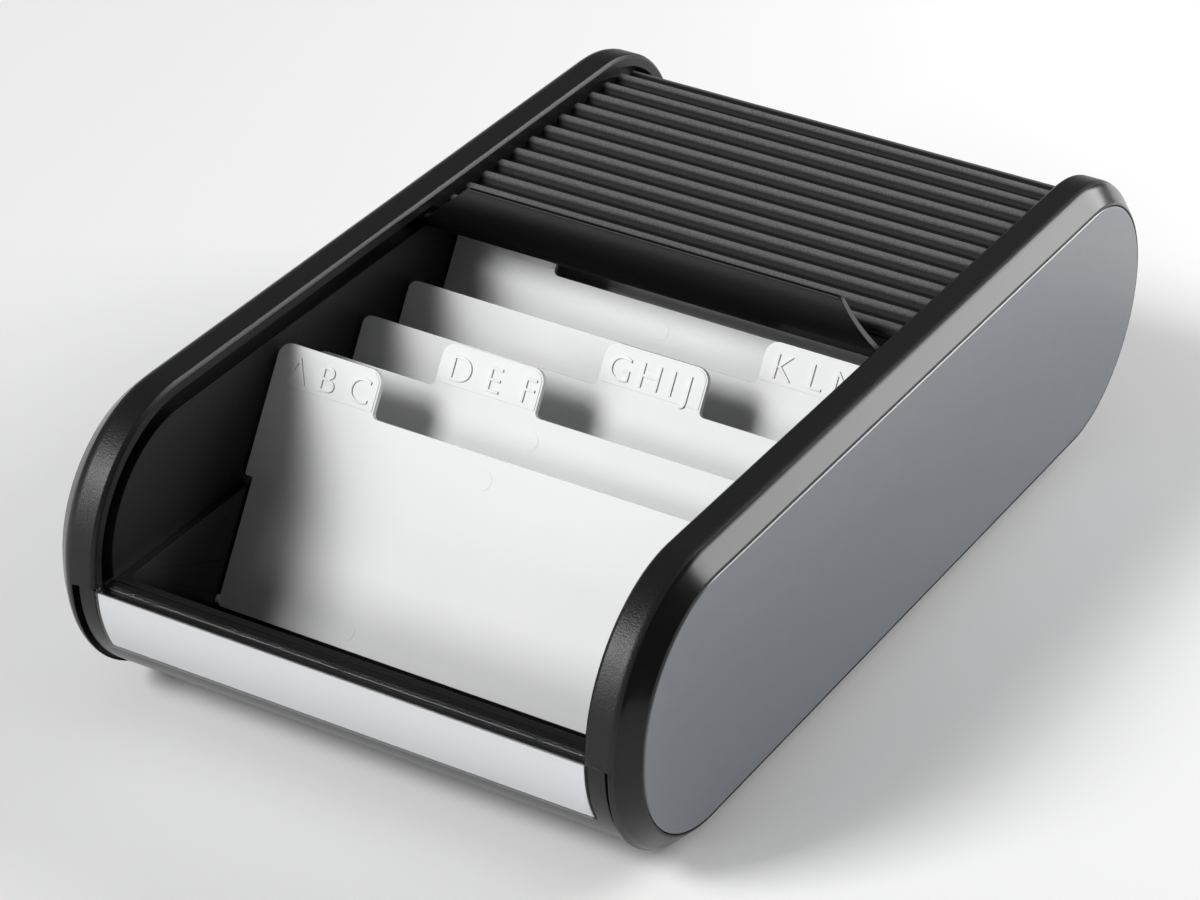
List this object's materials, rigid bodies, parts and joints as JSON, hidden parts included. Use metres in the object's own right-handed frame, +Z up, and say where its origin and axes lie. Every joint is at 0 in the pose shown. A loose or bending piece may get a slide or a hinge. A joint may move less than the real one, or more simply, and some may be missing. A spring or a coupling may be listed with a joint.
{
  "type": "roll-top index card drawer",
  "caption": "Desk index card drawer: two rounded side cheeks, a card tray with leaning lettered dividers, a label front and a ribbed roll shutter.",
  "frame": {"origin": "on the desk, under the middle of the drawer: centre of the bounding box at its bottom", "axes": "+Z up, -Y to the open front with the label, +X to the right as seen from the front"},
  "size_m": [0.136, 0.24, 0.0747],
  "materials": {
    "cheek_black": "fine-textured black moulding",
    "side_grey": "smooth satin grey lacquer",
    "tray_black": "plain black moulding",
    "panel_black": "semi-gloss black",
    "window_clear": "clear, glossy",
    "label_paper": "blank white card",
    "shutter_black": "matte black with a fine grain",
    "handle_black": "glossy black",
    "divider_white": "semi-gloss white",
    "foot_rubber": "soft black",
    "screw_steel": "zinc-plated"
  },
  "bodies": {
    "housing": {"card_tray": "tray_black", "left_cheek": "cheek_black", "right_cheek": "cheek_black", "left_side_plate": "side_grey", "right_side_plate": "side_grey", "left_cheek_screws": "screw_steel", "right_cheek_screws": "screw_steel", "front_panel": "panel_black", "label_window": "window_clear", "label_card": "label_paper", "base_plate": "tray_black", "base_screws": "screw_steel", "front_left_foot": "foot_rubber", "front_right_foot": "foot_rubber", "rear_left_foot": "foot_rubber", "rear_right_foot": "foot_rubber"},
    "shutter_front": {"shutter_handle": "handle_black"},
    "shutter_link_01": {"shutter_slat_01": "shutter_black"},
    "shutter_link_02": {"shutter_slat_02": "shutter_black"},
    "shutter_link_03": {"shutter_slat_03": "shutter_black"},
    "shutter_link_04": {"shutter_slat_04": "shutter_black"},
    "shutter_link_05": {"shutter_slat_05": "shutter_black"},
    "shutter_link_06": {"shutter_slat_06": "shutter_black"},
    "shutter_link_07": {"shutter_slat_07": "shutter_black"},
    "shutter_link_08": {"shutter_slat_08": "shutter_black"},
    "shutter_link_09": {"shutter_slat_09": "shutter_black"},
    "shutter_link_10": {"shutter_slat_10": "shutter_black"},
    "shutter_link_11": {"shutter_slat_11": "shutter_black"},
    "shutter_link_12": {"shutter_slat_12": "shutter_black"},
    "shutter_tail": {"shutter_slat_13": "shutter_black", "shutter_slat_14": "shutter_black", "shutter_slat_15": "shutter_black", "shutter_slat_16": "shutter_black"},
    "index_1": {"divider_1": "divider_white"},
    "index_2": {"divider_2": "divider_white"},
    "index_3": {"divider_3": "divider_white"},
    "index_4": {"divider_4": "divider_white"},
    "index_5": {"divider_5": "divider_white"},
    "index_6": {"divider_6": "divider_white"},
    "index_7": {"divider_7": "divider_white"},
    "index_8": {"divider_8": "divider_white"}
  },
  "joints": [
    {"name": "shutter_slide", "type": "slide", "parent": "housing", "child": "shutter_front", "axis": [0, 1, 0], "range_m": [0, 0.074]},
    {"name": "link_01_turn", "type": "hinge", "parent": "housing", "child": "shutter_link_01", "pos_m": [0, 0.04943, -0.24559], "axis": [-1, 0, 0], "range_deg": [0, 13.67]},
    {"name": "link_02_turn", "type": "hinge", "parent": "housing", "child": "shutter_link_02", "pos_m": [0, 0.05857, -0.03576], "axis": [-1, 0, 0], "range_deg": [0, 41.4]},
    {"name": "link_03_turn", "type": "hinge", "parent": "housing", "child": "shutter_link_03", "pos_m": [0, 0.06586, 0.0062], "axis": [-1, 0, 0], "range_deg": [0, 69.13]},
    {"name": "link_04_turn", "type": "hinge", "parent": "housing", "child": "shutter_link_04", "pos_m": [0, 0.07289, 0.02356], "axis": [-1, 0, 0], "range_deg": [0, 96.86]},
    {"name": "link_05_turn", "type": "hinge", "parent": "housing", "child": "shutter_link_05", "pos_m": [0, 0.07983, 0.03192], "axis": [-1, 0, 0], "range_deg": [0, 124.59]},
    {"name": "link_06_turn", "type": "hinge", "parent": "housing", "child": "shutter_link_06", "pos_m": [0, 0.08577, 0.0349], "axis": [-1, 0, 0], "range_deg": [0, 148.11]},
    {"name": "link_07_turn", "type": "hinge", "parent": "housing", "child": "shutter_link_07", "pos_m": [0, 0.08559, 0.03492], "axis": [-1, 0, 0], "range_deg": [0, 147.41]},
    {"name": "link_08_turn", "type": "hinge", "parent": "housing", "child": "shutter_link_08", "pos_m": [0, 0.07947, 0.03818], "axis": [-1, 0, 0], "range_deg": [0, 123.12]},
    {"name": "link_09_turn", "type": "hinge", "parent": "housing", "child": "shutter_link_09", "pos_m": [0, 0.07252, 0.04688], "axis": [-1, 0, 0], "range_deg": [0, 95.39]},
    {"name": "link_10_turn", "type": "hinge", "parent": "housing", "child": "shutter_link_10", "pos_m": [0, 0.06548, 0.06495], "axis": [-1, 0, 0], "range_deg": [0, 67.66]},
    {"name": "link_11_turn", "type": "hinge", "parent": "housing", "child": "shutter_link_11", "pos_m": [0, 0.05816, 0.10941], "axis": [-1, 0, 0], "range_deg": [0, 39.93]},
    {"name": "link_12_turn", "type": "hinge", "parent": "housing", "child": "shutter_link_12", "pos_m": [0, 0.04871, 0.35156], "axis": [-1, 0, 0], "range_deg": [0, 12.24]},
    {"name": "tail_slide", "type": "slide", "parent": "housing", "child": "shutter_tail", "axis": [0, -1, 0], "range_m": [0, 0.0741]},
    {"name": "divider_1_tilt", "type": "hinge", "parent": "housing", "child": "index_1", "pos_m": [0, -0.0795, 0.0111], "axis": [1, 0, 0], "range_deg": [0, 58]},
    {"name": "divider_2_tilt", "type": "hinge", "parent": "housing", "child": "index_2", "pos_m": [0, -0.0609, 0.0111], "axis": [1, 0, 0], "range_deg": [0, 12]},
    {"name": "divider_3_tilt", "type": "hinge", "parent": "housing", "child": "index_3", "pos_m": [0, -0.0423, 0.0111], "axis": [1, 0, 0], "range_deg": [0, 12]},
    {"name": "divider_4_tilt", "type": "hinge", "parent": "housing", "child": "index_4", "pos_m": [0, -0.0237, 0.0111], "axis": [1, 0, 0], "range_deg": [0, 12]},
    {"name": "divider_5_tilt", "type": "hinge", "parent": "housing", "child": "index_5", "pos_m": [0, -0.0051, 0.0111], "axis": [1, 0, 0], "range_deg": [0, 4]},
    {"name": "divider_6_tilt", "type": "hinge", "parent": "housing", "child": "index_6", "pos_m": [0, 0.0135, 0.0111], "axis": [1, 0, 0], "range_deg": [0, 4]},
    {"name": "divider_7_tilt", "type": "hinge", "parent": "housing", "child": "index_7", "pos_m": [0, 0.0321, 0.0111], "axis": [1, 0, 0], "range_deg": [0, 4]},
    {"name": "divider_8_tilt", "type": "hinge", "parent": "housing", "child": "index_8", "pos_m": [0, 0.0507, 0.0111], "axis": [1, 0, 0], "range_deg": [0, 4]}
  ],
  "couplings": [
    {"joint": "link_01_turn", "follows": "shutter_slide", "rad_per_m": 3.2223},
    {"joint": "link_02_turn", "follows": "shutter_slide", "rad_per_m": 9.7624},
    {"joint": "link_03_turn", "follows": "shutter_slide", "rad_per_m": 16.303},
    {"joint": "link_04_turn", "follows": "shutter_slide", "rad_per_m": 22.843},
    {"joint": "link_05_turn", "follows": "shutter_slide", "rad_per_m": 29.383},
    {"joint": "link_06_turn", "follows": "shutter_slide", "rad_per_m": 34.93},
    {"joint": "link_07_turn", "follows": "shutter_slide", "rad_per_m": 34.766},
    {"joint": "link_08_turn", "follows": "shutter_slide", "rad_per_m": 29.037},
    {"joint": "link_09_turn", "follows": "shutter_slide", "rad_per_m": 22.496},
    {"joint": "link_10_turn", "follows": "shutter_slide", "rad_per_m": 15.956},
    {"joint": "link_11_turn", "follows": "shutter_slide", "rad_per_m": 9.4156},
    {"joint": "link_12_turn", "follows": "shutter_slide", "rad_per_m": 2.887},
    {"joint": "tail_slide", "follows": "shutter_slide", "ratio": 1}
  ]
}
